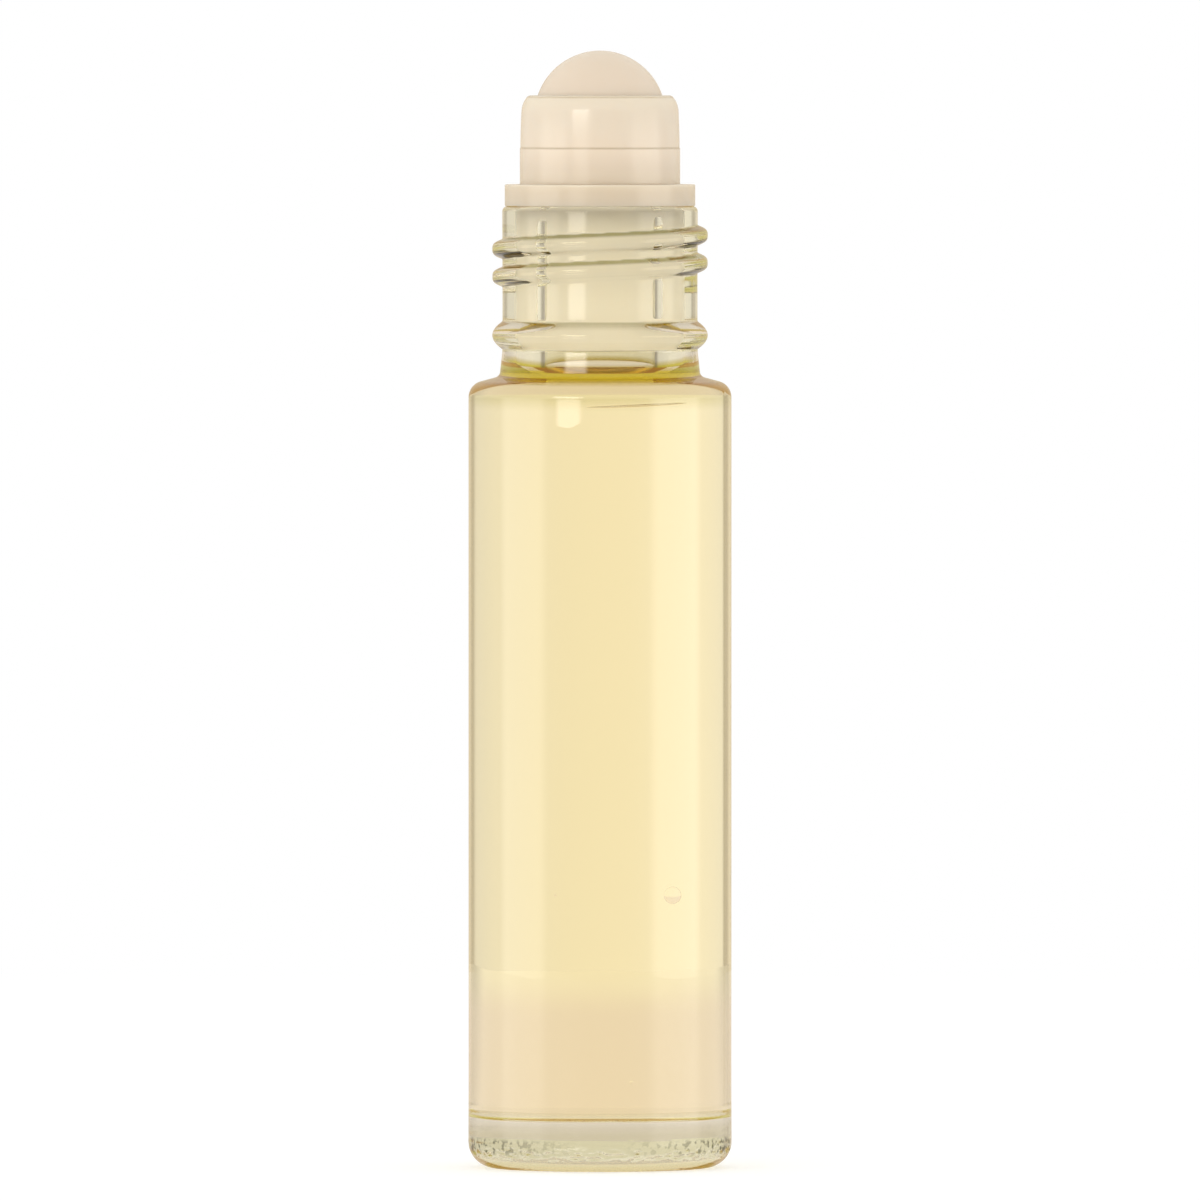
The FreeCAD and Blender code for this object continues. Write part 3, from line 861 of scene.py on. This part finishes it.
# Part 0 is the body, 1 and 2 are where oil meets air, and the rest are droplets
oil_of_face = np.minimum(oil_part_of_face, 1) + (oil_part_of_face > 2)
oils = (
    clear_material("pale_oil", 1.0, density=OIL_DENSITY, tint=OIL_TINT),
    clear_material("pale_oil_surface", OIL_IOR),
    clear_material("pale_oil_droplet", DROPLET_IOR),
)
oil = put_mesh("oil", oil_points, oil_quads, oil_fans, oils, oil_of_face)
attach(oil, "bottle")
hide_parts("oil_fill")
print("wetted faces:", int(wetted.sum()))

# %% [markdown]
# ## The roller housing
# One soft moulding of low-density polyethylene: a plug for the neck, a flange that stops on the
# glass, and a cup whose rim snaps over the ball. Its corners are only as sharp as a mould makes
# them, a tenth of a millimetre, and a fine step shows where the two halves of the mould met. The
# cup narrows a little towards its rim. The plug is drawn a hair larger than the bore, so that it
# shows through the glass as if pressed on, except along shallow dents, which show as grey streaks.

# %% Housing mesh
CUP_R, SKIRT_STEP, PARTING_RISE = 6.04, 0.04, 2.75
FLANGE_THICKNESS, RIM_ROUND_R, RIM_ROUND_HEIGHT = 1.65, 1.7, 1.15
PLUG_PRESS, PLUG_LEAD_IN, ORIFICE_R = 0.03, 0.4, 2.8
CUP_NARROWING = 0.16
# Angle, half width in degrees, lower and upper end, of the dents in the plug, and their depth
PLUG_DENTS = ((-146.8, 6.2, 64.2, 72.0), (-33.2, 6.8, 64.4, 67.6), (-33.2, 6.0, 70.9, 72.2))
DENT_DEPTH = 0.16
SOCKET_PLAY, EDGE_R, STEP_R = 0.1, 0.1, 0.018
# How far the outline starts and ends above the plug's end, inside its bore
BORE_START, BORE_END = 1.0, 1.2
# The angles by which the arcs of rim, snap lip and seat stop short of their corners
RIM_SHORT_DEG, LIP_SHORT_DEG, SEAT_SHORT_DEG = 4.0, 1.5, 1.0


def rounded(corners, radii, count=6):
    """An outline with each corner rounded: a short curve between two points beside the corner."""
    corners = np.array(corners, float)
    reach = np.array(radii, float)[:, None]
    towards = np.diff(corners, axis=0)
    towards = towards / np.hypot(*towards.T)[:, None]
    start = corners[1:-1] - towards[:-1] * reach
    end = corners[1:-1] + towards[1:] * reach
    share = np.linspace(0, 1, count)[None, :, None]
    curves = (1 - share) ** 2 * start[:, None] + share ** 2 * end[:, None]
    curves = curves + 2 * share * (1 - share) * corners[1:-1][:, None]
    run_starts = np.concatenate([corners[:1], end])
    run_ends = np.concatenate([start, corners[-1:]])
    runs = [straight(a, b, 0.4) for a, b in zip(run_starts, run_ends)]
    parts = [piece for pair in zip(runs, curves) for piece in pair]
    return joined(*parts, runs[-1])


def housing_section():
    """The closed half section, round the outside and back through the socket and the plug's bore."""
    flange_top = LIP_Z + FLANGE_THICKNESS
    step_z = flange_top + PARTING_RISE
    socket_r = BALL_R + SOCKET_PLAY
    plug_r = BORE_R + PLUG_PRESS
    rim_deg = math.degrees(math.asin(RIM_ROUND_HEIGHT / RIM_ROUND_R))
    rim_outer_r = CUP_R - RIM_ROUND_R * (1 - math.cos(math.radians(rim_deg)))
    lip_deg = math.degrees(math.asin((RIM_Z - BALL_Z) / socket_r))
    rim_inner_r = socket_r * math.cos(math.radians(lip_deg))
    seat_deg = math.degrees(math.acos(ORIFICE_R / socket_r))
    seat_z = BALL_Z - socket_r * math.sin(math.radians(seat_deg))
    outer = rounded(
        [
            (ORIFICE_R, PLUG_END_Z + BORE_START),
            (ORIFICE_R, PLUG_END_Z),
            (plug_r - PLUG_LEAD_IN, PLUG_END_Z),
            (plug_r, PLUG_END_Z + PLUG_LEAD_IN),
            (plug_r, LIP_Z),
            (FLANGE_R, LIP_Z),
            (FLANGE_R, flange_top),
            (CUP_R + SKIRT_STEP, flange_top),
            (CUP_R + SKIRT_STEP, step_z),
            (CUP_R, step_z),
            (CUP_R, RIM_Z - RIM_ROUND_HEIGHT),
        ],
        [EDGE_R] * 7 + [STEP_R] * 2,
    )
    rim_centre = (CUP_R - RIM_ROUND_R, RIM_Z - RIM_ROUND_HEIGHT)
    rim = arc(rim_centre, RIM_ROUND_R, 0, rim_deg - RIM_SHORT_DEG, 10)
    for wall in (outer, rim):
        rise = np.clip((wall[:, 1] - step_z) / (RIM_Z - step_z), 0, 1)
        wall[:, 0] -= CUP_NARROWING * rise ** 2
    rim_flat = straight((rim_outer_r - EDGE_R - CUP_NARROWING, RIM_Z), (rim_inner_r + EDGE_R, RIM_Z), 0.2)
    socket = arc((0, BALL_Z), socket_r, lip_deg - LIP_SHORT_DEG, -seat_deg + SEAT_SHORT_DEG, 30)
    bore = straight((ORIFICE_R, seat_z - EDGE_R), (ORIFICE_R, PLUG_END_Z + BORE_END), 0.6)
    return joined(outer, rim, rim_flat, socket, bore)


def housing_grid():
    """The turned section with its dents: depth times two steps, across and along the dent."""
    section, turn = housing_section(), angles()
    height = section[:, 1:]
    depth = np.zeros((len(section), len(turn)))
    for angle_deg, half_deg, low, high in PLUG_DENTS:
        off = np.abs(np.degrees(np.angle(np.exp(1j * (turn - math.radians(angle_deg))))))
        across = np.clip(2 * (half_deg - off) / half_deg, 0, 1)
        depth = np.maximum(depth, DENT_DEPTH * across * between(height, low, high))
    points = turned_points(section, turn)
    depth = np.where(section[:, :1] > BORE_R, depth, 0.0)
    points[:, :, 0] -= depth * np.cos(turn)
    points[:, :, 1] -= depth * np.sin(turn)
    return points


housing_points, housing_quads, housing_fans = round_arrays(housing_grid(), close_rows=True)
print("housing:", 2 * len(housing_quads), "triangles")

# %% [markdown]
# ## The ball
# A polypropylene ball, ground round and polished. It is a sphere, so its mesh is the sphere's own
# formula on a grid of latitude and longitude.

# %% Ball mesh
BALL_ROWS, BALL_COLUMNS = 97, 160
ball_centre = np.array([0.0, 0.0, BALL_Z])
ball_points, ball_quads, ball_fans = round_arrays(sphere_grid(BALL_R, BALL_ROWS, BALL_COLUMNS) + ball_centre)
print("ball:", 2 * len(ball_quads) + len(ball_fans), "triangles")

# %% [markdown]
# ## Plastics
# Both plastics are cloudy: light sinks in and spreads before it comes out again. The housing is one
# moulding of polyethylene, yet its flange looks darker than its cup, and its plug, behind glass,
# lighter. Those tones are painted light and shade, as a ramp over the height: painted shade on the
# flange and the lower cup, painted light on the plug, and a fine line of painted shade at the
# parting and one below the rim.

# %% Plastics
PLASTIC_IOR, CUP_ROUGHNESS, BALL_ROUGHNESS = 1.51, 0.18, 0.22
# Painted shade on the skirt, the fine lines and the flange, painted light on the plug behind glass
POLYETHYLENE, SKIRT_SHADE_TONE, LINE_SHADE_TONE = "#EDE2D3", "#E5DACB", "#CDBFAA"
FLANGE_SHADE_TONE, PLUG_LIGHT_TONE = "#DCD1BF", "#F7F2EC"
POLYPROPYLENE = "#E6DACD"
# How far light spreads below the skin, in millimetres, and the share of that for each colour
SPREAD_MM, SUBSURFACE_RADIUS = 1.2, (1.0, 0.97, 0.92)
# Size, height and strength of the moulded grain, and how far it changes the roughness
GRAIN_MM, GRAIN_HEIGHT, GRAIN_STRENGTH, GRAIN_SHEEN = 0.6, 0.02, 0.03, 0.06
PARTING_Z = LIP_Z + FLANGE_THICKNESS + PARTING_RISE
# Height and the tone there, matched: painted shade on flange, lower cup and two lines, painted light on the
# plug
HOUSING_LIGHT_AND_SHADE = (
    (LIP_Z - 0.05, PLUG_LIGHT_TONE), (LIP_Z, FLANGE_SHADE_TONE), (LIP_Z + 1.6, FLANGE_SHADE_TONE),
    (LIP_Z + 1.75, SKIRT_SHADE_TONE), (LIP_Z + 2.9, SKIRT_SHADE_TONE), (LIP_Z + 4.2, POLYETHYLENE),
    (PARTING_Z - 0.12, POLYETHYLENE), (PARTING_Z, LINE_SHADE_TONE), (PARTING_Z + 0.12, POLYETHYLENE),
    (RIM_Z - 0.25, POLYETHYLENE), (RIM_Z - 0.12, LINE_SHADE_TONE), (RIM_Z, POLYETHYLENE),
)


def milky_plastic(name, colour, roughness):
    """A cloudy plastic: light sinks in and spreads, over a skin with a fine moulded grain."""
    material, tree = new_material(name)
    grain = noise_of(tree, GRAIN_MM, 3.0)
    worn = ranged(tree, grain, 0.0, 1.0, roughness - GRAIN_SHEEN, roughness + GRAIN_SHEEN)
    sockets = {
        "Base Color": linear(colour),
        "Roughness": worn,
        "IOR": PLASTIC_IOR,
        "Subsurface Weight": 1.0,
        "Subsurface Radius": SUBSURFACE_RADIUS,
        "Subsurface Scale": SPREAD_MM * MM,
        "Normal": bump_of(tree, grain, GRAIN_STRENGTH, GRAIN_HEIGHT),
    }
    body = add(tree, "ShaderNodeBsdfPrincipled", sockets)
    add(tree, "ShaderNodeOutputMaterial", {"Surface": body})
    return material


polyethylene = milky_plastic("milky_polyethylene", POLYETHYLENE, CUP_ROUGHNESS)
tone_by_height(polyethylene.node_tree, HOUSING_LIGHT_AND_SHADE)
polypropylene = milky_plastic("off_white_polypropylene", POLYPROPYLENE, BALL_ROUGHNESS)

housing = put_mesh("roller_cup_and_plug", housing_points, housing_quads, housing_fans, [polyethylene])
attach(housing, "fitment")
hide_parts("roller_housing")

ball = put_mesh("ball", ball_points, ball_quads, ball_fans, [polypropylene])
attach(ball, "ball")
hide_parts("roller_ball")

# %% [markdown]
# ## Floor
# A light table: a pale acrylic sheet, lit from below, which passes into the backdrop at its rim.
# Its far part shows through the lower end of the oil as a faint change of tone. Like the backdrop it
# is dim between front and side. It is polished, so what the bottle mirrors close to the table is the
# lamps once more. Light comes up through the base of the bottle and makes the oil glow where it
# climbs the neck, and the glass there adds a ring of painted gold light. The camera sees the table as
# white, with the soft shadow that the bottle leaves.

# %% Make the floor
TABLE_RADIUS, TABLE_FADE_RADIUS, TABLE_Z = 400.0, 290.0, -0.02
TABLE_RINGS, TABLE_COLUMNS = 12, 96
TABLE_GLOW, TABLE_GLOW_COLOUR = 0.52, "#FFF4F6"
# How much of a mirrored ray the polish takes, and its roughness
TABLE_POLISH, TABLE_ROUGHNESS = 0.6, 0.08
# The share of the glow that is left where the table is dim, and the two ranges, as the sine of the
# angle from straight behind, over which the glow fades and comes back
TABLE_SIDE_GLOW = 0.55
TABLE_FADING, TABLE_RISING = (0.75, 0.95), (0.995, 0.96)
TABLE_COLOUR = "#A8A5A6"
# What the camera sees: the warm light turned back to neutral, and lifted towards white
SEEN_GLOW, SEEN_COLOUR = 0.5, "#C6CAD3"


def opal_acrylic():
    """The table's material: dull and glowing for the bottle, white for the camera, shiny for mirrors."""
    material, tree = new_material("opal_acrylic")
    path = add(tree, "ShaderNodeLightPath").outputs
    seen = path["Is Camera Ray"]
    place = object_place(tree)
    towards = add(tree, "ShaderNodeVectorMath", {0: place}, operation="NORMALIZE").outputs[0]
    sideways = math_of(tree, "ABSOLUTE", parts_of(tree, towards)["X"])
    shares = [
        ranged(tree, sideways, bright_at, dim_at, 1.0, TABLE_SIDE_GLOW, "SMOOTHSTEP")
        for bright_at, dim_at in (TABLE_FADING, TABLE_RISING)
    ]
    lit = math_of(tree, "MAXIMUM", *shares)

    top_colour = mix_of(tree, seen, linear(TABLE_COLOUR), linear(SEEN_COLOUR))
    top = add(tree, "ShaderNodeBsdfDiffuse", {"Color": top_colour})
    glow_colour = mix_of(tree, seen, linear(TABLE_GLOW_COLOUR), WHITE)
    dimmed = math_of(tree, "MULTIPLY", lit, TABLE_GLOW)
    strength = ranged(tree, seen, 0.0, 1.0, dimmed, SEEN_GLOW)
    glow = add(tree, "ShaderNodeEmission", {"Color": glow_colour, "Strength": strength})
    both = add(tree, "ShaderNodeAddShader", {0: top, 1: glow})

    rim_colour = mix_of(tree, seen, linear(ROOM_COLOUR), WHITE)
    rim_level = ranged(tree, seen, 0.0, 1.0, lit, 1.0)
    rim = add(tree, "ShaderNodeEmission", {"Color": rim_colour, "Strength": rim_level})
    from_bottle = add(tree, "ShaderNodeVectorMath", {0: place}, operation="LENGTH").outputs["Value"]
    fade = ranged(tree, from_bottle, TABLE_FADE_RADIUS * MM, TABLE_RADIUS * MM, curve="SMOOTHSTEP")
    sheet = add(tree, "ShaderNodeMixShader", {0: fade, 1: both, 2: rim})

    polish = add(tree, "ShaderNodeBsdfGlossy", {"Color": WHITE, "Roughness": TABLE_ROUGHNESS})
    off_glass = math_of(tree, "SUBTRACT", path["Is Glossy Ray"], path["Is Transmission Ray"], clamp=True)
    mirrored_share = math_of(tree, "MULTIPLY", off_glass, TABLE_POLISH)
    table = add(tree, "ShaderNodeMixShader", {0: mirrored_share, 1: sheet, 2: polish})
    add(tree, "ShaderNodeOutputMaterial", {"Surface": table})
    return material


def make_floor():
    """A round sheet just under the bottle: rings of points from its rim to its middle."""
    radius = TABLE_RADIUS * np.linspace(1, 0, TABLE_RINGS)
    section = np.stack([radius, np.full(TABLE_RINGS, TABLE_Z)], axis=1)
    grid = turned_points(section, angles(TABLE_COLUMNS))
    return put_mesh("light_table", *round_arrays(grid), [opal_acrylic()])


make_floor()
